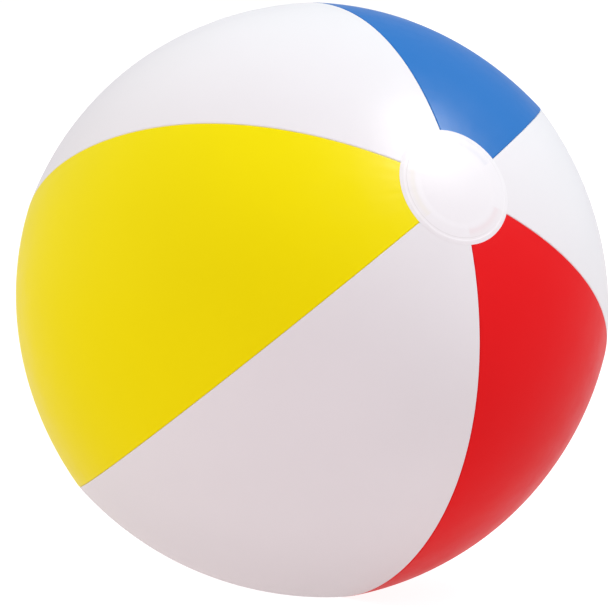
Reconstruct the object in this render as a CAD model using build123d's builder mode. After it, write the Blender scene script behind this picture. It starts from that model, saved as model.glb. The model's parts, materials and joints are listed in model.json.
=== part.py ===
from build123d import *
import os
from math import cos, degrees, pi, radians, sin, tan

# Inflatable beach ball, millimetres and degrees.
#
# Six vinyl panels run from pole to pole and are welded edge to edge, with the weld margins turned in.
# A round disc is welded over the panels' ends at each pole. The rear disc carries the inflation valve:
# a neck on a soft skirt that pushes in flush and pulls out for inflating, closed by a hinged stopper,
# with a non-return flap at its inner end.
#
# The origin is the ball's centre and +Z is up. The ball lies on its side: its polar axis is in the
# YZ plane, with the plain front pole raised above -Y and the valve low at the back.

# ---- Driving dimensions ----

flat_length = 610.0       # one panel from pole to pole, measured flat
film = 0.25               # vinyl film thickness
polar_tilt = 25.0         # elevation of the front pole above the horizon
weld_margin = 4.5         # width of the welded edges turned in at each seam
end_disc_reach = 39.4     # end disc, from its centre to its edge along the surface
panel_end_reach = 29.5    # where the panels stop under it, from the same centre
front_disc_offset = 3.0   # the front disc and the hole under it are a little off the pole,
front_disc_azimuth = 112  # at this azimuth

# Azimuth of each seam about the polar axis, and the colour of the panel that starts there.
# Hand-cut panels differ from one sixth of a turn by a degree or two.
panels = [
    ("blue_panel", 32.1),
    ("white_panel_top", 90.0),
    ("yellow_panel", 149.8),
    ("white_panel_bottom", 210.8),
    ("red_panel", 271.4),
    ("white_panel_right", 333.5),
]

flange_reach = 17.0       # valve flange, welded inside the rear disc
flange_thickness = 0.6
flange_hole_radius = 8.4
disc_hole_radius = 8.6    # hole in the rear disc around the valve

neck_radius = 5.5
neck_rim_height = 1.3     # the pushed-in neck stands this far above the surface
neck_length = 14.0
stopper_bore_radius = 4.1
stopper_bore_depth = 4.9
pump_bore_radius = 3.6
neck_travel = 14.0        # how far the neck pulls out
skirt_wall = 0.4
skirt_gap = 0.3           # between the skirt's small end and the neck

head_radius = 6.2
head_thickness = 1.4
plug_depth = 4.5
plug_top_radius = 4.0
plug_clearance = 0.3      # between the swinging plug's tip and the bore
seat_gap = 0.05           # between faces that rest on each other
strap_thickness = 0.8
strap_width = 4.4
hinge_reach = 9.2         # stopper hinge, from the valve's axis
hinge_gap = 0.15          # from the hinge to the strap's ends on each side
fold_inner_radius = 0.25
fold_outer_radius = 0.8
finger_tab_reach = 10.0
finger_tab_width = 5.0
finger_tab_rise = 0.2

flap_radius = 4.9
flap_thickness = 0.5
flap_hinge_reach = 4.6    # flap hinge, from the valve's axis

edge_round = 0.35

# ---- Worked out from those ----

ball_radius = flat_length / pi
end_disc_angle = end_disc_reach / ball_radius
disc_hole_angle = disc_hole_radius / ball_radius
flange_hole_angle = flange_hole_radius / ball_radius
panel_end_angle = panel_end_reach / ball_radius
flange_angle = flange_reach / ball_radius
neck_base = neck_rim_height - neck_length
bore_step = neck_rim_height - stopper_bore_depth
skirt_top = -0.2
skirt_base = -neck_travel / 2
hinge_height = neck_rim_height + seat_gap / 2
head_base = neck_rim_height + seat_gap

# The plug's far side swings about the hinge, so its tip is narrower than its mouth.
plug_swing = hinge_reach + stopper_bore_radius
plug_tip_radius = (plug_swing**2 - plug_depth**2) ** 0.5 - hinge_reach - plug_clearance

polar_plane = Plane(
    origin=(0, 0, 0), x_dir=(1, 0, 0), z_dir=(0, -cos(radians(polar_tilt)), sin(radians(polar_tilt)))
)
polar_axis = Axis((0, 0, 0), polar_plane.z_dir)

# Valve plane: its origin is the rear pole, z points out of the ball and x points to the upper side.
valve_plane = Plane(
    origin=polar_plane.z_dir * -ball_radius, x_dir=polar_plane.y_dir, z_dir=polar_plane.z_dir * -1
)
valve_axis = Axis(valve_plane.origin, valve_plane.z_dir)

# Section through the valve: x out from its axis to the upper side, y out of the ball.
valve_section = Plane(
    origin=valve_plane.origin, x_dir=valve_plane.x_dir, z_dir=valve_plane.x_dir.cross(valve_plane.z_dir)
)


def meridian(azimuth):
    """Plane through the polar axis: x points out at this azimuth, y to the front pole."""
    outward = polar_plane.x_dir.rotate(polar_axis, azimuth)
    return Plane(origin=(0, 0, 0), x_dir=outward, z_dir=outward.cross(polar_plane.z_dir))


def on_meridian(radius, colatitude):
    """Point in a plane whose y runs to a pole, with the colatitude counted in radians from that pole."""
    return (radius * sin(colatitude), radius * cos(colatitude))


def polar_strip(plane, inner_radius, outer_radius, start, end):
    """Closed strip in such a plane, between two radii and two colatitudes."""
    middle = (start + end) / 2
    with BuildSketch(plane) as strip:
        with BuildLine():
            outer = ThreePointArc(*[on_meridian(outer_radius, angle) for angle in (start, middle, end)])
            inner = ThreePointArc(*[on_meridian(inner_radius, angle) for angle in (start, middle, end)])
            Line(outer @ 0, inner @ 0)
            Line(outer @ 1, inner @ 1)
        make_face()
    return strip.sketch


def section_to(pole):
    """Plane through the ball's centre whose y points to a pole."""
    across = Plane(origin=(0, 0, 0), z_dir=pole).x_dir
    return Plane(origin=(0, 0, 0), x_dir=across, z_dir=across.cross(pole))


def cap(pole, inner_radius, outer_radius, start, end):
    """Round piece about a direction from the ball's centre, between two radii and two angles from it."""
    strip = polar_strip(section_to(pole), inner_radius, outer_radius, start, end)
    with BuildPart() as piece:
        revolve(strip, axis=Axis((0, 0, 0), pole))
    return piece


rear_pole = valve_plane.z_dir
lean_axis = Axis((0, 0, 0), meridian(front_disc_azimuth).z_dir)
front_disc_centre = polar_plane.z_dir.rotate(lean_axis, -degrees(front_disc_offset / ball_radius))


def panel(start, end):
    """One panel from end to end, with its two weld margins turned in along the seams."""
    ends = (panel_end_angle / 2, pi - panel_end_angle)
    skin = (ball_radius - film, ball_radius, *ends)
    margin = (ball_radius - film - weld_margin, ball_radius - film / 2, *ends)
    punch_height = 1.1 * ball_radius
    with BuildPart() as piece:
        revolve(polar_strip(meridian(end), *skin), axis=polar_axis, revolution_arc=start - end)
        extrude(polar_strip(meridian(start), *margin), amount=-film)
        extrude(polar_strip(meridian(end), *margin), amount=film)
        # The hole under the front disc, which takes the panels' front ends off.
        with BuildSketch(section_to(front_disc_centre)):
            Polygon((0, 0), (0, punch_height), (punch_height * tan(panel_end_angle), punch_height), align=None)
        revolve(axis=Axis((0, 0, 0), front_disc_centre), mode=Mode.SUBTRACT)
    return piece


def save(piece, name):
    """Name a finished piece and write it."""
    piece.part.label = name
    export_step(piece.part, f"parts/{name}.step")


os.makedirs("parts", exist_ok=True)

# ---- Panels ----

seams = [azimuth for _, azimuth in panels]
seams.append(seams[0] + 360)
for index, (name, start) in enumerate(panels):
    save(panel(start, seams[index + 1]), name)

# ---- End discs, welded over the panels' ends ----

save(cap(front_disc_centre, ball_radius, ball_radius + film, 0, end_disc_angle), "front_end_disc")
save(cap(rear_pole, ball_radius, ball_radius + film, disc_hole_angle, end_disc_angle), "rear_end_disc")

# ---- Valve flange and skirt ----

save(cap(rear_pole, ball_radius - flange_thickness, ball_radius, flange_hole_angle, flange_angle), "valve_flange")

skirt_inner_radius = neck_radius + skirt_gap
with BuildPart() as valve_skirt:
    with BuildSketch(valve_section):
        Polygon(
            (flange_hole_radius - 0.05, skirt_top),
            (flange_hole_radius - 0.05 - skirt_wall, skirt_top),
            (skirt_inner_radius, skirt_base),
            (skirt_inner_radius + skirt_wall, skirt_base),
            align=None,
        )
    revolve(axis=valve_axis)
save(valve_skirt, "valve_skirt")

# ---- Valve neck, with the ear that the stopper's strap starts from ----

with BuildPart() as valve_neck:
    with BuildSketch(valve_section):
        with BuildLine():
            Polyline(
                (stopper_bore_radius, neck_rim_height),
                (neck_radius, neck_rim_height),
                (neck_radius, neck_base),
                (pump_bore_radius, neck_base),
                (pump_bore_radius, bore_step),
                (stopper_bore_radius, bore_step),
                close=True,
            )
        make_face()
    revolve(axis=valve_axis)
    fillet(valve_neck.edges().filter_by(GeomType.CIRCLE).group_by(SortBy.RADIUS)[-1], edge_round)
    with BuildSketch(valve_plane.offset(neck_rim_height - strap_thickness)):
        ear_start = (stopper_bore_radius + neck_radius) / 2
        ear_end = hinge_reach - hinge_gap
        with Locations(((ear_start + ear_end) / 2, 0)):
            Rectangle(ear_end - ear_start, strap_width)
    extrude(amount=strap_thickness)
save(valve_neck, "valve_neck")

# ---- Stopper: head, tapered plug, strap end and finger tab ----

with BuildPart() as stopper:
    with BuildSketch(valve_section):
        with BuildLine():
            Polyline(
                (0, head_base + head_thickness),
                (head_radius, head_base + head_thickness),
                (head_radius, head_base),
                (plug_top_radius, head_base),
                (plug_tip_radius, neck_rim_height - plug_depth),
                (0, neck_rim_height - plug_depth),
                close=True,
            )
        make_face()
    revolve(axis=valve_axis)
    fillet(stopper.edges().filter_by(GeomType.CIRCLE).group_by(SortBy.RADIUS)[-1], edge_round)
    with BuildSketch(valve_plane.offset(head_base)):
        strap_end = hinge_reach - hinge_gap
        with Locations(((plug_top_radius + strap_end) / 2, 0)):
            Rectangle(strap_end - plug_top_radius, strap_width)
    extrude(amount=strap_thickness)
    with BuildSketch(valve_plane.offset(head_base + finger_tab_rise)):
        with Locations((-(plug_top_radius + finger_tab_reach) / 2, 0)):
            RectangleRounded(finger_tab_reach - plug_top_radius, finger_tab_width, 1.6)
    extrude(amount=head_thickness - 2 * finger_tab_rise)
save(stopper, "stopper")

# ---- Folded end of the strap, round the stopper's hinge ----

with BuildPart() as stopper_strap:
    with BuildSketch(valve_section):
        with BuildLine():
            outer_fold = CenterArc((hinge_reach - hinge_gap, hinge_height), fold_outer_radius, -90, 180)
            inner_fold = CenterArc((hinge_reach - hinge_gap, hinge_height), fold_inner_radius, -90, 180)
            Line(outer_fold @ 0, inner_fold @ 0)
            Line(outer_fold @ 1, inner_fold @ 1)
        make_face()
    extrude(amount=strap_width / 2, both=True)
save(stopper_strap, "stopper_strap")

# ---- Non-return flap on the neck's inner end ----

with BuildPart() as check_flap:
    with BuildSketch(valve_plane.offset(neck_base - seat_gap)):
        Circle(flap_radius)
        with Locations((flap_hinge_reach, 0)):
            Rectangle(flap_radius, 2 * flap_radius, align=(Align.MIN, Align.CENTER), mode=Mode.SUBTRACT)
    extrude(amount=-flap_thickness)
save(check_flap, "check_flap")

# ---- Places that the joints and mounts use ----


def row_point(reach, height):
    """Point on the valve's section, in the ball's frame."""
    return valve_section.from_local_coords((reach, height, 0))


print("ball radius", round(ball_radius, 3), "plug tip radius", round(plug_tip_radius, 3))
print("valve direction", valve_plane.z_dir)
print("stopper hinge", row_point(hinge_reach, hinge_height))
print("flap hinge", row_point(flap_hinge_reach, neck_base - seat_gap))
print("pump bore middle", row_point(0, (neck_base + bore_step) / 2), "length", round(bore_step - neck_base, 3))
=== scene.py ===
import json
import math

import bmesh
import bpy
import numpy as np
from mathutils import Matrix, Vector


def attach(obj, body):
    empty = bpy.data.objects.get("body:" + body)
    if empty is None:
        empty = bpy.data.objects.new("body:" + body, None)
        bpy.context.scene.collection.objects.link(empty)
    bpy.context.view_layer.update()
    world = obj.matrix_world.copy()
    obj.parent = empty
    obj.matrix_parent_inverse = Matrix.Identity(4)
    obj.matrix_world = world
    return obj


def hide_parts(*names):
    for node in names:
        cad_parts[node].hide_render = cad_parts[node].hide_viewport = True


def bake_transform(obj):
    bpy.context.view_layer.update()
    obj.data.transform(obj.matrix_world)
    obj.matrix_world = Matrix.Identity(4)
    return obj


# The looks of an inflatable beach ball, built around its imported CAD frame. Lengths are in metres.
# Points on the ball are given in polar terms about the ball's own axis, which runs from the rear
# pole, where the valve is, to the plain front pole: a colatitude from the front pole, an azimuth
# round the axis and a radius from the ball's centre.

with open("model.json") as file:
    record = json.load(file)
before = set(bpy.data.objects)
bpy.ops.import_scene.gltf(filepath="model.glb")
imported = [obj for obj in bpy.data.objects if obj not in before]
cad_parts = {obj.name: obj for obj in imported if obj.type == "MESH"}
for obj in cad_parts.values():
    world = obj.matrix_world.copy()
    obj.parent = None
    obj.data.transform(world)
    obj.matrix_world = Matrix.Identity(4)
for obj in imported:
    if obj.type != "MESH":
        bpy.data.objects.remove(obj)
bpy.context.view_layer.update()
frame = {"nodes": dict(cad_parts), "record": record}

MM = 0.001

# ---- The frame: centre at the origin, directions and radius from the record's mounts ----

mounts = {mount["name"]: mount for mount in frame["record"]["mounts"]}
RADIUS = -mounts["floor_contact"]["pos_m"][2]
FLOOR = -RADIUS

FRONT = -np.array(mounts["pump_nozzle"]["axis"], float)
FRONT /= np.linalg.norm(FRONT)
SIDE = np.array([1.0, 0.0, 0.0])
RISE = np.cross(FRONT, SIDE)

# Panels in order round the axis, and the material slot of each.
PANEL_SLOTS = {
    "blue_panel": "blue_vinyl",
    "white_panel_top": "white_vinyl",
    "yellow_panel": "yellow_vinyl",
    "white_panel_bottom": "white_vinyl",
    "red_panel": "red_vinyl",
    "white_panel_right": "white_vinyl",
}

# ---- Sizes of the film and its welds ----

FILM = 0.25 * MM
SEAM_GAP = 0.02 * MM        # from the seam's plane to each panel's turned-in face
FOLD = 0.80 * MM            # radius of the fold where a panel turns in at a seam
WELD_MARGIN = 4.75 * MM     # depth of the turned-in margin
PANEL_END = 29.5 * MM       # where the panels stop under an end disc, from its centre

DISC_REACH = 39.4 * MM      # end disc, from its centre along the surface
DISC_OFFSET = 3.0 * MM      # the front disc is welded on a little off the pole,
DISC_AZIMUTH = math.radians(112)    # at this azimuth
DISC_HOLE = 8.6 * MM        # hole in the rear disc
DISC_LIFT = 0.03 * MM       # from the panels' outer face to a disc's under face
DISC_DIP = 0.8 * FILM       # how far a disc dips over the hole in the panels' ends,
DIP_SLOPE = 5 * MM          # over this much of its reach
RIM_WIDTH = 2 * MM          # a disc's pressed rim
RIM_PRESS = 0.8 * FILM      # and how much thinner its edge is
CRINKLE = 0.03 * MM         # height of the ripples of a disc's outer part

WELD_RING = 35.6 * MM       # middle of the ring weld near an end disc's edge
WELD_WIDTH = 1.7 * MM
WELD_PRESS = 0.08 * MM      # depth of a weld's band
BEAD_HEIGHT = 0.03 * MM     # fine bead along each edge of the band
BEAD_WIDTH = 0.22 * MM
FLANGE_REACH = 17.2 * MM    # just past the valve's flange, under the rear disc
FLANGE_SLOPE = 2.5 * MM     # where the rear disc comes down from the flange
FLANGE_WELD = 13.0 * MM     # middle of the weld that holds the valve's flange to the rear disc
FLANGE_WELD_WIDTH = 4.0 * MM

RIDGE = 2.0 * MM            # how far the seams stand out at the equator
RIDGE_LOW = math.radians(125)       # azimuth where they stand out least,
RIDGE_EASE = 0.65           # by this share
FULLNESS = 0.3 * MM         # how much the whole middle of the ball stretches
FLATTENING = 0.0115 * RADIUS        # how far the front pole is pulled in
PUCKER = 0.07 * MM          # height of the small ripples along the seams
PUCKER_REACH = 3.2 * MM     # how far from the seam they are highest
PUCKER_WAVES = (11 * MM, 17 * MM, 26 * MM)
GATHER = 0.10 * MM          # height of the radial ripples round an end disc
GATHER_FADE = 14 * MM
GATHER_WAVES = (6.2 * MM, 8.9 * MM, 13 * MM)
SWELL = 0.12 * MM           # slow unevenness of the film,
SWELL_REACH = 0.30          # over about this length

SHOW_THROUGH = 0.02         # how far a coloured panel's end tints the disc over it
CUT_EDGE_SHOW = 0.06        # and more at the panel's cut edge
CUT_EDGE_WIDTH = 2.2 * MM


def unit(vector):
    return vector / np.linalg.norm(vector)


def smooth_step(low, high, value):
    """0 below low, 1 above high, smooth between."""
    t = np.clip((value - low) / (high - low), 0, 1)
    return t * t * (3 - 2 * t)


def ball_direction(colatitude, azimuth):
    """Unit vectors from the ball's centre, in an array with a last axis of 3."""
    ring = np.cos(azimuth)[..., None] * SIDE + np.sin(azimuth)[..., None] * RISE
    return np.sin(colatitude)[..., None] * ring + np.cos(colatitude)[..., None] * FRONT


def polar(direction):
    """Colatitude and azimuth of unit vectors."""
    colatitude = np.arccos(np.clip(direction @ FRONT, -1, 1))
    return colatitude, np.arctan2(direction @ RISE, direction @ SIDE)


def azimuth_span(node):
    """First and last azimuth of a CAD panel, in radians."""
    corners = np.array([vertex.co for vertex in frame["nodes"][node].data.vertices], float)
    azimuth = np.arctan2(corners @ RISE, corners @ SIDE)
    middle = math.atan2(np.sin(azimuth).mean(), np.cos(azimuth).mean())
    offset = (azimuth - middle + math.pi) % (2 * math.pi) - math.pi
    return middle + offset.min(), middle + offset.max()


SPANS = {name: azimuth_span(name) for name in PANEL_SLOTS}
SEAMS = np.array([start for start, _ in SPANS.values()]) % (2 * math.pi)

FRONT_DISC = ball_direction(np.array(DISC_OFFSET / RADIUS), np.array(DISC_AZIMUTH))
REAR_DISC = -FRONT


def distance_from(centre, direction):
    """Distance along the ball's surface from one direction to others."""
    return RADIUS * np.arccos(np.clip(direction @ centre, -1, 1))


# ---- The inflated surface ----


def ripple(along, wavelengths, seed):
    """Uneven ripples along a line, about -1 to 1, the same each run."""
    phases = np.random.default_rng(seed).uniform(0, 2 * math.pi, 2 * len(wavelengths))
    total = np.zeros_like(along)
    for index, wavelength in enumerate(wavelengths):
        swell = 0.6 + 0.4 * np.sin(along / (5.3 * wavelength) + phases[2 * index])
        total += swell * np.sin(2 * math.pi * along / wavelength + phases[2 * index + 1])
    return total / len(wavelengths)


def panel_ridge(azimuth):
    """1 at the seams and -0.5 in the middle of each panel."""
    ordered = np.sort(SEAMS)
    edges = np.concatenate([ordered - 2 * math.pi, ordered, ordered + 2 * math.pi])
    turn = azimuth % (2 * math.pi)
    after = np.searchsorted(edges, turn, side="right")
    low, high = edges[after - 1], edges[np.minimum(after, len(edges) - 1)]
    across = 2 * (turn - low) / (high - low) - 1
    return (3 * across**2 - 1) / 2


def front_flattening(colatitude):
    """The front end disc is stiffer than a panel, so the ball is a little flatter there and fuller
    round it."""
    cosine = np.cos(colatitude)
    shape = (35 * cosine**4 - 30 * cosine**2 + 3) / 8
    return -FLATTENING * shape * smooth_step(-0.2, 0.6, cosine)


def slow_swell(direction):
    """Gentle unevenness, made of three slow waves that run in different directions."""
    x, y, z = (direction @ axis / SWELL_REACH for axis in (SIDE, RISE, FRONT))
    first = np.sin(3.1 * x + 1.7 * y + 0.4)
    second = np.sin(2.6 * y - 2.2 * z + 2.1)
    third = np.sin(3.4 * z + 1.9 * x + 4.0)
    return (first + second + third) / 3


def surface_radius(direction):
    """Radius of the panels' outer face, without the seams' folds and puckers."""
    colatitude, azimuth = polar(direction)
    softer = 1 - RIDGE_EASE * np.clip(np.cos(azimuth - RIDGE_LOW), 0, 1) ** 2
    ridge = (RIDGE * softer * panel_ridge(azimuth) + FULLNESS) * np.sin(colatitude) ** 2
    swell = SWELL * slow_swell(direction) * np.sin(colatitude)
    return RADIUS + ridge + front_flattening(colatitude) + swell


def seat_on_floor(points, direction):
    """Lifts what would pass below the floor, which gives the ball its small flat contact patch."""
    skin = surface_radius(direction)[..., None] * direction
    points[..., 2] += np.maximum(0, FLOOR - skin[..., 2])
    return points


# ---- Mesh helpers ----


def new_object(name, vertices, faces, smooth_angle=50):
    """Mesh object from arrays, smooth except across edges sharper than the angle."""
    mesh = bpy.data.meshes.new(name)
    mesh.from_pydata(np.asarray(vertices, float).reshape(-1, 3).tolist(), [], faces)
    mesh.validate()
    finish_shading(mesh, smooth_angle)
    piece = bpy.data.objects.new(name, mesh)
    bpy.context.scene.collection.objects.link(piece)
    return piece


def finish_shading(mesh, smooth_angle):
    """Outward normals, smooth shading and sharp edges past an angle in degrees."""
    shell = bmesh.new()
    shell.from_mesh(mesh)
    bmesh.ops.recalc_face_normals(shell, faces=shell.faces)
    shell.to_mesh(mesh)
    shell.free()
    mesh.polygons.foreach_set("use_smooth", [True] * len(mesh.polygons))
    mesh.set_sharp_from_angle(angle=math.radians(smooth_angle))


def loft_faces(rows, columns):
    """Quads between rings of points, each ring closed on itself."""
    faces = []
    for row in range(rows - 1):
        near, far = row * columns, (row + 1) * columns
        for column in range(columns):
            following = (column + 1) % columns
            faces.append((near + column, near + following, far + following, far + column))
    return faces


def closing_faces(rows, columns):
    """Quads that join the last ring of a loft to its first."""
    last = (rows - 1) * columns
    faces = []
    for column in range(columns):
        following = (column + 1) % columns
        faces.append((column, last + column, last + following, following))
    return faces


def cap_faces(rows, columns):
    """The two flat ends of a loft."""
    return [tuple(range(columns)), tuple(range((rows - 1) * columns, rows * columns))]


# ---- Panels ----

OPEN_STATIONS = (1.3, 2.0, 3.0, 4.2, 5.6, 7.2, 9.0, 11.0)  # millimetres from the seam, past the fold
OPEN_COLUMNS = 26           # columns across the open panel between the two edge strips
ROW_STEP = 1.9 * MM


def half_section():
    """Stations of the film from the margin's tip to the start of the open panel: distance from the seam
    and depth below the surface, for the outer and then the inner face."""
    stations = []
    for depth in (WELD_MARGIN, 0.7 * WELD_MARGIN, 0.4 * WELD_MARGIN):
        stations.append((SEAM_GAP, depth, SEAM_GAP + FILM, depth))
    inner = FOLD - FILM
    for turn in np.linspace(0, math.pi / 2, 7):
        stations.append(
            (
                SEAM_GAP + FOLD * (1 - math.cos(turn)),
                FOLD * (1 - math.sin(turn)),
                SEAM_GAP + FOLD - inner * math.cos(turn),
                FOLD - inner * math.sin(turn),
            )
        )
    for distance in OPEN_STATIONS:
        stations.append((distance * MM, 0, distance * MM, FILM))
    return np.array(stations)


def build_panel(name, seed):
    """One panel: film of real thickness, rippled along its seams and turned in at them."""
    start, end = SPANS[name]
    first, last = PANEL_END / RADIUS, math.pi - PANEL_END / RADIUS
    rows = np.linspace(first, last, int(RADIUS * (last - first) / ROW_STEP))[:, None]
    width = RADIUS * np.sin(rows) * (end - start)
    edge = half_section()
    reach = edge[-1, 0]
    open_film = reach + np.linspace(0, 1, OPEN_COLUMNS + 2)[1:-1] * (width - 2 * reach)
    # The front rows follow the round hole under the front disc, which is a little off the pole.
    offset = DISC_OFFSET / RADIUS * np.exp((first - rows) / 0.2)

    def face_points(edge_distance, edge_depth, open_depth):
        near = np.broadcast_to(edge_distance, (len(rows), len(edge)))
        across = np.concatenate([near, open_film, width - near[:, ::-1]], axis=1)
        depth = np.concatenate([edge_depth, np.full(OPEN_COLUMNS, open_depth), edge_depth[::-1]])
        azimuth = start + across / width * (end - start)
        direction = ball_direction(rows + offset * np.cos(azimuth - DISC_AZIMUTH), azimuth)
        radius = surface_radius(direction) - depth + panel_ripples(direction, across, width, seed)
        return seat_on_floor(radius[..., None] * direction, direction)

    outer = face_points(edge[:, 0], edge[:, 1], 0.0)
    inner = face_points(edge[:, 2], edge[:, 3], FILM)
    ring = np.concatenate([outer, inner[:, ::-1]], axis=1)
    row_count, columns = ring.shape[:2]
    faces = loft_faces(row_count, columns)
    for base in (0, (row_count - 1) * columns):
        for station in range(columns // 2 - 1):
            opposite = base + columns - 1 - station
            faces.append((base + station, base + station + 1, opposite - 1, opposite))
    piece = new_object(name + "_film", ring, faces)
    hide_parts(name)
    return piece


def panel_ripples(direction, across, width, seed):
    """Puckers along both seams and gathers that run out from the end discs, in metres of height."""
    colatitude, azimuth = polar(direction)
    from_centre = np.minimum(distance_from(FRONT_DISC, direction), distance_from(REAR_DISC, direction))
    from_disc = from_centre - DISC_REACH
    total = np.zeros_like(colatitude)
    for side, distance in enumerate((across, width - across)):
        reach = distance / PUCKER_REACH
        puckers = ripple(RADIUS * colatitude, PUCKER_WAVES, seed + side)
        total += PUCKER * reach * np.exp(1 - reach) * puckers
    fade = np.exp(-np.maximum(from_disc, 0) / GATHER_FADE)
    total += GATHER * fade * ripple(azimuth * DISC_REACH, GATHER_WAVES, seed + 7)
    return total * smooth_step(0, 4 * MM, from_disc)


# ---- End discs ----

DISC_SEGMENTS = 288


def sunken(along, with_valve):
    """1 where an end disc dips, over the hole in the panels' ends, and 0 outside it. The valve's flange
    holds the rear disc's middle up."""
    hole = 1 - smooth_step(PANEL_END - DIP_SLOPE, PANEL_END, along)
    if with_valve:
        hole = hole * smooth_step(FLANGE_REACH, FLANGE_REACH + FLANGE_SLOPE, along)
    return hole


def weld_ring_height(along, middle, width):
    """A pressed band with a fine bead along each of its edges."""
    from_edge = np.abs(along - middle) - width / 2
    press = 1 - smooth_step(-0.15 * MM, 0.15 * MM, from_edge)
    bead = np.exp(-(((from_edge - 0.25 * MM) / BEAD_WIDTH) ** 2))
    return BEAD_HEIGHT * bead - WELD_PRESS * press


def pressed_rim(along):
    """0 to 1 over an end disc's rim, where the weld presses its edge thin."""
    return np.clip((along - DISC_REACH) / RIM_WIDTH + 1, 0, 1)


def disc_height(along, with_valve):
    """Height of an end disc's outer face above the panels' surface, by distance from its centre."""
    height = FILM - DISC_DIP * sunken(along, with_valve)
    height = height + weld_ring_height(along, WELD_RING, WELD_WIDTH)
    if with_valve:
        height = height + weld_ring_height(along, FLANGE_WELD, FLANGE_WELD_WIDTH)
    return height - RIM_PRESS * pressed_rim(along)


def disc_stations(with_valve):
    """Distances from the centre for the rings of an end disc, closer where it has detail."""
    start, coarse = (DISC_HOLE, 0.8 * MM) if with_valve else (0.4 * MM, 1.4 * MM)
    dip_start, dip_end = PANEL_END - 5.5 * MM, PANEL_END + 0.5 * MM
    ring_start, ring_end = WELD_RING - 2.2 * MM, WELD_RING + 2.2 * MM
    stations = [
        np.arange(start, dip_start, coarse),
        np.arange(dip_start, dip_end, 0.4 * MM),
        np.arange(dip_end, ring_start, 0.5 * MM),
        np.arange(ring_start, ring_end, 0.1 * MM),
        np.linspace(ring_end, DISC_REACH, 8),
    ]
    if with_valve:
        reach = FLANGE_WELD_WIDTH / 2 + 0.9 * MM
        stations.append(np.arange(FLANGE_WELD - reach, FLANGE_WELD + reach, 0.12 * MM))
    merged = np.unique(np.concatenate(stations))
    apart = np.diff(merged) > 0.02 * MM
    return merged[np.concatenate([[True], apart])]


def build_disc(name, centre, with_valve, seed):
    """An end disc with its ring weld, lying over the panels' ends."""
    across = unit(SIDE - (SIDE @ centre) * centre)
    upward = np.cross(centre, across)
    along = disc_stations(with_valve)[:, None]
    turn = np.linspace(0, 2 * math.pi, DISC_SEGMENTS, endpoint=False)
    ring = np.cos(turn)[:, None] * across + np.sin(turn)[:, None] * upward
    angle = (along / RADIUS)[..., None]
    direction = np.cos(angle) * centre + np.sin(angle) * ring
    base = surface_radius(direction)
    crinkle = CRINKLE * ripple(turn * DISC_REACH, (7.6 * MM, 12 * MM), seed)
    crinkle = crinkle * smooth_step(15 * MM, 32 * MM, along) * (1 - pressed_rim(along))
    top = base + disc_height(along, with_valve) + crinkle
    under = base - DISC_DIP * sunken(along, with_valve) + DISC_LIFT
    rings = np.concatenate([top[..., None] * direction, (under[..., None] * direction)[::-1]])
    faces = loft_faces(len(rings), DISC_SEGMENTS)
    vertices = rings.reshape(-1, 3)
    if with_valve:
        faces.extend(closing_faces(len(rings), DISC_SEGMENTS))
    else:
        middle = surface_radius(centre[None])[0] - DISC_DIP
        vertices = np.concatenate([vertices, [(middle + FILM) * centre, middle * centre]])
        outside, inside = len(vertices) - 2, len(vertices) - 1
        last = (len(rings) - 1) * DISC_SEGMENTS
        for segment in range(DISC_SEGMENTS):
            following = (segment + 1) % DISC_SEGMENTS
            faces.append((outside, following, segment))
            faces.append((inside, last + segment, last + following))
    piece = new_object(name + "_film", vertices, faces, smooth_angle=60)
    paint_show_through(piece, centre)
    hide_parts(name)
    return piece


def paint_show_through(piece, centre):
    """Stores how far the coloured panels' ends tint the disc over them, for the disc's material."""
    points = np.empty(len(piece.data.vertices) * 3, np.float32)
    piece.data.vertices.foreach_get("co", points)
    points = points.reshape(-1, 3).astype(float)
    direction = points / np.linalg.norm(points, axis=1)[:, None]
    colatitude, azimuth = polar(direction)
    along = distance_from(centre, direction)
    over_panels = smooth_step(PANEL_END - 1 * MM, PANEL_END + 1 * MM, along)
    cut_edge = np.exp(-(((along - PANEL_END - 1.4 * MM) / CUT_EDGE_WIDTH) ** 2))
    strength = SHOW_THROUGH * over_panels + CUT_EDGE_SHOW * cut_edge
    tint = np.ones((len(points), 4), np.float32)
    for name, slot in PANEL_SLOTS.items():
        if slot == "white_vinyl":
            continue
        start, end = SPANS[name]
        offset = (azimuth - start) % (2 * math.pi)
        from_seam = np.minimum(offset, (end - start) - offset) * RADIUS * np.sin(colatitude)
        amount = (strength * smooth_step(-0.3 * MM, 0.3 * MM, from_seam))[:, None]
        tint[:, :3] = tint[:, :3] * (1 - amount) + np.array(COLOURS[slot]) * amount
    attribute = piece.data.attributes.new("show_through", "FLOAT_COLOR", "POINT")
    attribute.data.foreach_set("color", tint.ravel())


# ---- Valve: its pieces are made in the valve's own frame, in millimetres ----

# The origin is the rear pole, x points to the upper side, y across and z out of the ball.
VALVE_Z = -FRONT
VALVE_X = RISE
VALVE_Y = SIDE
VALVE_ORIGIN = RADIUS * VALVE_Z

SHRINK = 0.05               # how far a moulding's skin lies inside its CAD solid
AXIS = 0.02                 # a turned profile starts this far off the valve's axis
NECK_RADIUS = 5.5
NECK_RIM = 1.3              # height of the neck's rim above the ball's surface
NECK_BASE = -12.7
STOPPER_BORE = 4.1
STOPPER_BORE_BASE = -3.6
PUMP_BORE = 3.6
FLANGE_HOLE = 8.4
SKIRT_BASE = -7.0
HEAD_RADIUS = 6.2
HEAD_BASE, HEAD_TOP = 1.35, 2.75
GROOVE_DEPTH = 0.5          # ring groove in the head, round a low boss
PLUG_RADIUS, PLUG_TIP_RADIUS = 3.88, 2.95
PLUG_TIP = -3.15
PLUG_HOLLOW = 2.0           # radius of the plug's hollow,
HOLLOW_TOP = -1.2           # which ends at this height
TAB_LOW, TAB_HIGH = -9.95, -4.6     # the finger tab's reach along x
TAB_WIDTH = 4.9
STRAP_WIDTH = 4.4
STRAP_THICKNESS = 0.8
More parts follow.
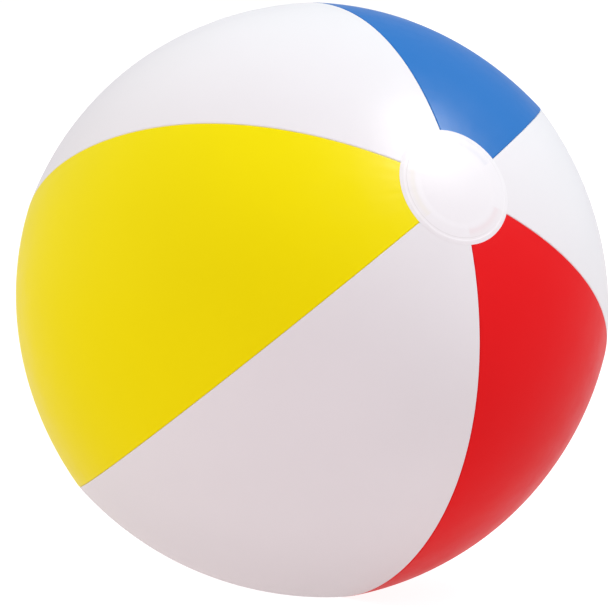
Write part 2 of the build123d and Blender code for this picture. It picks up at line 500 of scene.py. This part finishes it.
STRAP_FOLD = (9.05, 1.325)  # centre of the strap's fold
STRAP_END = 9.05
FOLD_INNER, FOLD_OUTER = 0.25, 0.8  # radii of the fold's two faces
FOLD_THINNING = 0.10        # how much thinner the strap is where it bends


def to_ball(points):
    """Valve-frame points in millimetres, as points in the ball's frame in metres."""
    points = np.asarray(points, float) * MM
    frame_axes = np.array([VALVE_X, VALVE_Y, VALVE_Z])
    return VALVE_ORIGIN + points @ frame_axes


def lathe(profile, segments=96):
    """Closed profile of (radius, height) points turned about the valve's axis."""
    profile = np.array(profile, float)
    turn = np.linspace(0, 2 * math.pi, segments, endpoint=False)
    x = profile[:, 0, None] * np.cos(turn)
    y = profile[:, 0, None] * np.sin(turn)
    z = np.broadcast_to(profile[:, 1, None], x.shape)
    rings = np.stack([x, y, z], axis=-1)
    faces = loft_faces(len(profile), segments) + closing_faces(len(profile), segments)
    return rings.reshape(-1, 3), faces


def rounded(corners, steps=5):
    """A closed outline, in points, of corners (x, y, radius), each rounded off by its radius."""
    outline = []
    count = len(corners)
    for index, (x, y, reach) in enumerate(corners):
        here = np.array((x, y), float)
        before = np.array(corners[index - 1][:2], float)
        after = np.array(corners[(index + 1) % count][:2], float)
        to_before, to_after = before - here, after - here
        reach = min(reach, 0.45 * np.linalg.norm(to_before), 0.45 * np.linalg.norm(to_after))
        start, end = here + reach * unit(to_before), here + reach * unit(to_after)
        for step in np.linspace(0, 1, steps):
            outline.append((1 - step) ** 2 * start + 2 * step * (1 - step) * here + step**2 * end)
    return np.array(outline)


def slab(outline, bottom, top, edge):
    """Flat piece of an outline in the valve's x and y, with rounded edges top and bottom."""
    outline = np.array(outline, float)
    ahead = np.roll(outline, -1, axis=0) - np.roll(outline, 1, axis=0)
    inward = np.stack([-ahead[:, 1], ahead[:, 0]], axis=1)
    inward /= np.linalg.norm(inward, axis=1)[:, None]
    if np.mean(np.sum(inward * (outline.mean(axis=0) - outline), axis=1)) < 0:
        inward = -inward
    levels = []
    for turn in np.linspace(0, math.pi / 2, 5):
        levels.append((edge * (1 - math.sin(turn)), bottom + edge * (1 - math.cos(turn))))
    for turn in np.linspace(math.pi / 2, 0, 5):
        levels.append((edge * (1 - math.sin(turn)), top - edge * (1 - math.cos(turn))))
    rings = []
    for inset, height in levels:
        ring = outline + inset * inward
        rings.append(np.column_stack([ring, np.full(len(ring), height)]))
    faces = loft_faces(len(levels), len(outline)) + cap_faces(len(levels), len(outline))
    return np.concatenate(rings), faces


def box_slab(x_low, x_high, width, bottom, top, edge, corner=0.4, steps=6):
    """slab of a rectangle centred across the valve, with its corners rounded off."""
    half = width / 2
    sides = [(x_low, -half), (x_high, -half), (x_high, half), (x_low, half)]
    return slab(rounded([(*side, corner) for side in sides], steps), bottom, top, edge)


def fused(name, shapes):
    """One skin round several overlapping closed shapes, as a moulding has, with its joins rounded."""
    vertices, faces = [], []
    for shape_vertices, shape_faces in shapes:
        base = len(vertices)
        vertices.extend(np.asarray(shape_vertices).tolist())
        faces.extend(tuple(base + index for index in face) for face in shape_faces)
    piece = new_object(name, np.array(vertices), faces)
    remesh = piece.modifiers.new("join", "REMESH")
    remesh.mode = "VOXEL"
    remesh.voxel_size = 0.12
    remesh.use_smooth_shade = True
    relax = piece.modifiers.new("relax", "SMOOTH")
    relax.factor = 0.5
    relax.iterations = 1
    view_layer = bpy.context.view_layer
    view_layer.update()
    solid = bpy.data.meshes.new_from_object(piece.evaluated_get(view_layer.depsgraph))
    piece.modifiers.clear()
    piece.data = solid
    points = np.empty(len(solid.vertices) * 3, np.float32)
    solid.vertices.foreach_get("co", points)
    solid.vertices.foreach_set("co", to_ball(points.reshape(-1, 3)).astype(np.float32).ravel())
    finish_shading(solid, 70)
    return piece


def build_neck():
    """The neck, softly rounded, with its ear for the strap."""
    outer = NECK_RADIUS - SHRINK
    base = NECK_BASE + 0.1
    profile = rounded(
        [
            (STOPPER_BORE + SHRINK, NECK_RIM, 0.35),
            (outer, NECK_RIM, 0.4),
            (outer, base, 0.5),
            (PUMP_BORE + SHRINK, base, 0.4),
            (PUMP_BORE + SHRINK, STOPPER_BORE_BASE, 0.3),
            (STOPPER_BORE + SHRINK, STOPPER_BORE_BASE, 0.2),
        ]
    )
    ear = box_slab(4.85, STRAP_END, STRAP_WIDTH, NECK_RIM - STRAP_THICKNESS, NECK_RIM, 0.18)
    return fused("valve_neck_moulding", [lathe(profile), ear])


def build_stopper():
    """The stopper: grooved head, hollow tapered plug, finger tab with grip ribs and the strap's end."""
    skin = HEAD_RADIUS - SHRINK
    boss_top, groove = HEAD_TOP - 0.1, HEAD_TOP - GROOVE_DEPTH
    head_base = HEAD_BASE + 0.03
    head = rounded(
        [
            (AXIS, boss_top, 0.01),
            (1.0, boss_top, 0.2),
            (1.3, groove, 0.2),
            (4.0, groove, 0.3),
            (4.5, HEAD_TOP, 0.3),
            (skin, HEAD_TOP - 0.02, 0.45),
            (skin, head_base, 0.4),
            (AXIS, head_base, 0.01),
        ]
    )
    plug_root = HEAD_BASE + 0.3
    plug = rounded(
        [
            (AXIS, plug_root, 0.01),
            (PLUG_RADIUS, plug_root, 0.05),
            (PLUG_RADIUS, 0.9, 0.2),
            (PLUG_TIP_RADIUS, PLUG_TIP, 0.4),
            (PLUG_HOLLOW, PLUG_TIP, 0.4),
            (PLUG_HOLLOW, HOLLOW_TOP, 0.4),
            (AXIS, HOLLOW_TOP, 0.01),
        ]
    )
    tab = box_slab(TAB_LOW, TAB_HIGH, TAB_WIDTH, 1.57, 2.4, 0.3, corner=1.6, steps=8)
    ribs = [box_slab(start, start + 0.5, 3.2, 2.1, 2.85, 0.15, corner=0.2) for start in (-9.2, -8.2, -7.2)]
    strap_end = box_slab(4.3, STRAP_END, STRAP_WIDTH, HEAD_BASE, HEAD_BASE + STRAP_THICKNESS, 0.18)
    return fused("stopper_moulding", [lathe(head), lathe(plug), tab, *ribs, strap_end])


def build_skirt():
    """The thin skirt that turns inside out as the neck is pulled: a soft S from flange to neck."""
    wall = 0.4
    start = np.array([FLANGE_HOLE - 0.25, -0.25])
    end = np.array([NECK_RADIUS + 0.45, SKIRT_BASE + 0.05])
    steps = np.linspace(0, 1, 40)
    bulge = 0.28 * np.sin(2 * math.pi * steps)
    middle = start + steps[:, None] * (end - start)
    middle[:, 0] += bulge * np.sin(math.pi * steps)
    ahead = np.gradient(middle, axis=0)
    across = np.stack([-ahead[:, 1], ahead[:, 0]], axis=1)
    across /= np.linalg.norm(across, axis=1)[:, None]
    thin = wall / 2 * (1 - 0.25 * np.sin(math.pi * steps))[:, None]
    profile = np.concatenate([middle + thin * across, (middle - thin * across)[::-1]])
    vertices, faces = lathe(profile, 144)
    turn = np.arctan2(vertices[:, 1], vertices[:, 0])
    along = np.clip(-vertices[:, 2] / -SKIRT_BASE, 0, 1)
    crease = 0.05 * np.sin(math.pi * along) * ripple(turn, (2 * math.pi / 7, 2 * math.pi / 12), 31)
    vertices[:, :2] *= (1 + crease / np.hypot(vertices[:, 0], vertices[:, 1]))[:, None]
    piece = new_object("valve_skirt_film", to_ball(vertices), faces)
    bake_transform(piece)
    return piece


def build_strap():
    """The strap's fold between the neck's ear and the stopper, thinned where it bends."""
    centre = np.array(STRAP_FOLD)
    half = STRAP_WIDTH / 2
    widths = (-half, -half + 0.08, -half + 0.25, -0.9, 0, 0.9, half - 0.25, half - 0.08, half)
    bevels = (0.16, 0.05, 0, 0, 0, 0, 0, 0.05, 0.16)
    rows = []
    for turn in np.linspace(-math.pi / 2, math.pi / 2, 25):
        outward = np.array([math.cos(turn), math.sin(turn)])
        thin = FOLD_THINNING * math.cos(turn) ** 2
        inner = centre + (FOLD_INNER + 0.3 * thin) * outward
        outer = centre + (FOLD_OUTER - thin) * outward
        top = [(*(outer - bevel * outward), width) for width, bevel in zip(widths, bevels)]
        under = [(*(inner + bevel * outward), width) for width, bevel in zip(widths, bevels)]
        rows.append([(x, width, z) for x, z, width in top + under[::-1]])
    rows = np.array(rows)
    count, columns = rows.shape[:2]
    faces = loft_faces(count, columns) + cap_faces(count, columns)
    piece = new_object("stopper_strap_fold", to_ball(rows.reshape(-1, 3)), faces)
    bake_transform(piece)
    return piece


# ---- Materials ----

COLOURS = {
    "white_vinyl": (0.785, 0.785, 0.79),
    "yellow_vinyl": (0.872, 0.76, 0.0005),
    "blue_vinyl": (0.022, 0.167, 0.495),
    "red_vinyl": (0.762, 0.009, 0.0115),
    "disc_vinyl": (0.82, 0.82, 0.825),
    "valve_vinyl": (0.70, 0.735, 0.755),
}


class Graph:
    """Short names for adding and linking shader nodes."""

    def __init__(self, name):
        self.material = bpy.data.materials.new(name)
        self.material.use_nodes = True
        self.tree = self.material.node_tree
        self.shader = self.tree.nodes["Principled BSDF"]
        self.place = self.node("ShaderNodeTexCoord").outputs["Object"]

    def node(self, kind, **settings):
        made = self.tree.nodes.new(kind)
        for key, value in settings.items():
            setattr(made, key, value)
        return made

    def link(self, source, target):
        self.tree.links.new(source, target)

    def noise(self, scale, detail, roughness=0.5):
        made = self.node("ShaderNodeTexNoise")
        made.inputs["Scale"].default_value = scale
        made.inputs["Detail"].default_value = detail
        made.inputs["Roughness"].default_value = roughness
        self.link(self.place, made.inputs["Vector"])
        return made.outputs["Fac"]

    def remap(self, value, source, target):
        """A value, mapped from one (low, high) range to another."""
        made = self.node("ShaderNodeMapRange")
        for socket, number in zip(("From Min", "From Max", "To Min", "To Max"), source + target):
            made.inputs[socket].default_value = number
        self.link(value, made.inputs["Value"])
        return made.outputs["Result"]

    def bump(self, height, distance, strength, before=None):
        made = self.node("ShaderNodeBump")
        made.inputs["Distance"].default_value = distance
        made.inputs["Strength"].default_value = strength
        self.link(height, made.inputs["Height"])
        if before is not None:
            self.link(before, made.inputs["Normal"])
        return made.outputs["Normal"]

    def shade(self, colour, value):
        """colour, brightened or darkened by a value round 1."""
        made = self.node("ShaderNodeHueSaturation")
        if isinstance(colour, tuple):
            made.inputs["Color"].default_value = (*colour, 1.0)
        else:
            self.link(colour, made.inputs["Color"])
        self.link(value, made.inputs["Value"])
        return made.outputs["Color"]

    def mix(self, factor, first, second, **settings):
        """Mix of two colours, each a plain colour or a socket."""
        made = self.node("ShaderNodeMix", data_type="RGBA", **settings)
        factor_socket, first_socket, second_socket = (made.inputs[index] for index in (0, 6, 7))
        for source, target in ((factor, factor_socket), (first, first_socket), (second, second_socket)):
            if isinstance(source, tuple):
                target.default_value = (*source, 1.0)
            elif isinstance(source, float):
                target.default_value = source
            else:
                self.link(source, target)
        return made.outputs[2]


def vinyl(name, colour, roughness, gloss, show_through=False):
    """Glossy soft film: uneven pigment, a drawn-film texture and faint scuffs in the gloss."""
    graph = Graph(name)
    pigment = graph.remap(graph.noise(9.0, detail=3.0), (0.3, 0.7), (0.985, 1.01))
    source = colour
    if show_through:
        tint = graph.node("ShaderNodeAttribute", attribute_name="show_through")
        source = graph.mix(1.0, colour, tint.outputs["Color"], blend_type="MULTIPLY")
    graph.link(graph.shade(source, pigment), graph.shader.inputs["Base Color"])
    uneven = graph.noise(55.0, detail=6.0, roughness=0.65)
    scuffs = graph.remap(uneven, (0.35, 0.75), (roughness - 0.04, roughness + 0.06))
    graph.link(scuffs, graph.shader.inputs["Roughness"])
    film = graph.bump(graph.noise(420.0, detail=3.0), distance=0.00006, strength=0.35)
    waves = graph.bump(graph.noise(38.0, detail=2.0), distance=0.0006, strength=0.10, before=film)
    graph.link(waves, graph.shader.inputs["Normal"])
    graph.shader.inputs["Specular IOR Level"].default_value = gloss
    return graph.material


def dress(piece, slot):
    """Gives a piece or CAD node its one material."""
    piece.data.materials.clear()
    piece.data.materials.append(materials[slot])


# ---- Build the ball ----

FILM_FINISH = (0.34, 0.05)      # roughness and gloss of the thin film
MOULDED_FINISH = (0.26, 0.35)   # and of the valve's thicker mouldings

materials = {}
for slot, colour in COLOURS.items():
    finish = MOULDED_FINISH if slot == "valve_vinyl" else FILM_FINISH
    materials[slot] = vinyl(slot, colour, *finish, show_through=slot == "disc_vinyl")

for index, (panel_name, slot) in enumerate(PANEL_SLOTS.items()):
    film_piece = build_panel(panel_name, 100 * (index + 1))
    dress(film_piece, slot)
    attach(film_piece, "ball")

discs = [
    build_disc("front_end_disc", FRONT_DISC, with_valve=False, seed=900),
    build_disc("rear_end_disc", REAR_DISC, with_valve=True, seed=950),
]
for disc_piece in discs:
    dress(disc_piece, "disc_vinyl")
    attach(disc_piece, "ball")

neck, stopper, skirt, strap = build_neck(), build_stopper(), build_skirt(), build_strap()
valve_pieces = {"valve_neck": neck, "stopper": stopper, "valve_skirt": skirt, "stopper_strap": strap}
for node, valve_piece in valve_pieces.items():
    dress(valve_piece, "valve_vinyl")
    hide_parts(node)
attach(neck, "neck")
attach(stopper, "stopper")
for node in ("valve_flange", "check_flap"):
    dress(frame["nodes"][node], "valve_vinyl")

# ---- Floor, lights and camera ----

FLOOR_BOUNCE = (0.33, 0.29, 0.295)      # what the floor gives back of the light on it,
FLOOR_GLOW = (0.585, 0.527, 0.53)       # its own light on the ball
FLOOR_WHITE = (0.93, 0.93, 0.93)        # and how bright the camera sees it
STUDIO_WHITE = (1.05, 1.05, 1.05)

VIEW = (-31.9, 4.69)        # azimuth and elevation of the camera, in degrees
CAMERA_DISTANCE = 13.318 * RADIUS
LENS = 230.7                # millimetres
AIM = (-0.0172 * RADIUS, -0.0118 * RADIUS)      # what the camera looks at, right and up of the centre
LIGHT_DISTANCE = 2.2


def camera_axes(azimuth, elevation):
    """Right, up and back vectors of a camera; azimuth 0 looks along +Y."""
    a, e = math.radians(azimuth), math.radians(elevation)
    back = Vector((math.sin(a) * math.cos(e), -math.cos(a) * math.cos(e), math.sin(e)))
    right = Vector((math.cos(a), math.sin(a), 0))
    return right, back.cross(right), back


def add_floor():
    """White paper that glows a little, so that the ball's shadow on it stays pale."""
    mesh = bpy.data.meshes.new("floor")
    half = 30.0
    level = FLOOR - 0.1 * MM
    corners = [(-half, -half, level), (half, -half, level), (half, half, level), (-half, half, level)]
    mesh.from_pydata(corners, [], [(0, 1, 2, 3)])
    floor = bpy.data.objects.new("floor", mesh)
    bpy.context.scene.collection.objects.link(floor)
    graph = Graph("floor_paper")
    grain = graph.remap(graph.noise(3.0, detail=4.0), (0.3, 0.7), (0.99, 1.0))
    graph.link(graph.shade(FLOOR_BOUNCE, grain), graph.shader.inputs["Base Color"])
    graph.shader.inputs["Roughness"].default_value = 0.9
    graph.shader.inputs["Specular IOR Level"].default_value = 0.0
    seen = graph.node("ShaderNodeLightPath").outputs["Is Camera Ray"]
    glow = graph.mix(seen, FLOOR_GLOW, FLOOR_WHITE)
    graph.link(glow, graph.shader.inputs["Emission Color"])
    graph.shader.inputs["Emission Strength"].default_value = 1.0
    graph.material.cycles.emission_sampling = "NONE"
    mesh.materials.append(graph.material)


def add_softbox(name, place, radius, power, colour, only_gloss=False):
    """A round softbox aimed at the ball; one may light only the film's gloss."""
    light = bpy.data.lights.new(name, "AREA")
    light.shape = "DISK"
    light.size = 2 * radius
    light.energy = power
    light.color = colour
    lamp = bpy.data.objects.new(name, light)
    lamp.location = place
    lamp.rotation_euler = (-Vector(place)).to_track_quat("-Z", "Y").to_euler()
    lamp.visible_diffuse = not only_gloss
    bpy.context.scene.collection.objects.link(lamp)


def add_world(lobes):
    """A white studio. Each lobe of its soft light is a direction, an exponent and a colour."""
    world = bpy.data.worlds.new("studio")
    world.use_nodes = True
    tree = world.node_tree
    place = tree.nodes.new("ShaderNodeTexCoord").outputs["Generated"]

    def operate(kind, operation, *sources):
        made = tree.nodes.new(kind)
        made.operation = operation
        for socket, source in zip(made.inputs, sources):
            if isinstance(source, bpy.types.NodeSocket):
                tree.links.new(source, socket)
            else:
                socket.default_value = source
        return made

    total = (0.0, 0.0, 0.0)
    for direction, exponent, colour in lobes:
        facing = operate("ShaderNodeVectorMath", "DOT_PRODUCT", place, tuple(direction)).outputs["Value"]
        lit = operate("ShaderNodeMath", "MAXIMUM", facing, 0.0).outputs[0]
        spread = operate("ShaderNodeMath", "POWER", lit, exponent).outputs[0]
        glow = operate("ShaderNodeVectorMath", "MULTIPLY", spread, colour).outputs[0]
        total = operate("ShaderNodeVectorMath", "ADD", total, glow).outputs[0]
    seen = tree.nodes.new("ShaderNodeMix")
    seen.data_type = "RGBA"
    factor, first, second = (seen.inputs[index] for index in (0, 6, 7))
    tree.links.new(tree.nodes.new("ShaderNodeLightPath").outputs["Is Camera Ray"], factor)
    tree.links.new(total, first)
    second.default_value = (*STUDIO_WHITE, 1.0)
    tree.links.new(seen.outputs[2], tree.nodes["Background"].inputs["Color"])
    bpy.context.scene.world = world


def add_camera(azimuth, elevation):
    """A long lens, so the ball shows almost without perspective."""
    right, up, back = camera_axes(azimuth, elevation)
    data = bpy.data.cameras.new("camera")
    data.lens = LENS
    data.sensor_width = 36.0
    data.clip_end = 100.0
    camera = bpy.data.objects.new("camera", data)
    camera.location = back * CAMERA_DISTANCE
    target = right * AIM[0] + up * AIM[1]
    camera.rotation_euler = (target - camera.location).to_track_quat("-Z", "Y").to_euler()
    bpy.context.scene.collection.objects.link(camera)
    bpy.context.scene.camera = camera


right, up, back = camera_axes(*VIEW)
top = Vector((0, 0, 1))
add_floor()
add_world(
    [
        (back, 1, (0.66, 0.43, 0.53)),
        (-back, 1, (0.25, 0.20, 0.28)),
        (-back, 8, (0.48, 0.48, 0.48)),
        (right, 2, (0.62, 0.78, 0.76)),
        (-right, 2, (1.35, 1.34, 1.31)),
        (top, 2, (0.82, 0.96, 0.93)),
    ]
)
key_place = (right * 0.535 + up * 0.838 + back * 0.104) * LIGHT_DISTANCE
add_softbox("softbox", key_place, radius=0.458, power=19.2, colour=(0.94, 0.95, 1.0))
highlight_place = (right * 0.585 + up * 0.775 + back * 0.240) * LIGHT_DISTANCE
add_softbox(
    "highlight", highlight_place, radius=0.40, power=155.0, colour=(1.0, 1.0, 1.0), only_gloss=True
)
add_camera(*VIEW)

bpy.context.scene.view_settings.view_transform = "Standard"
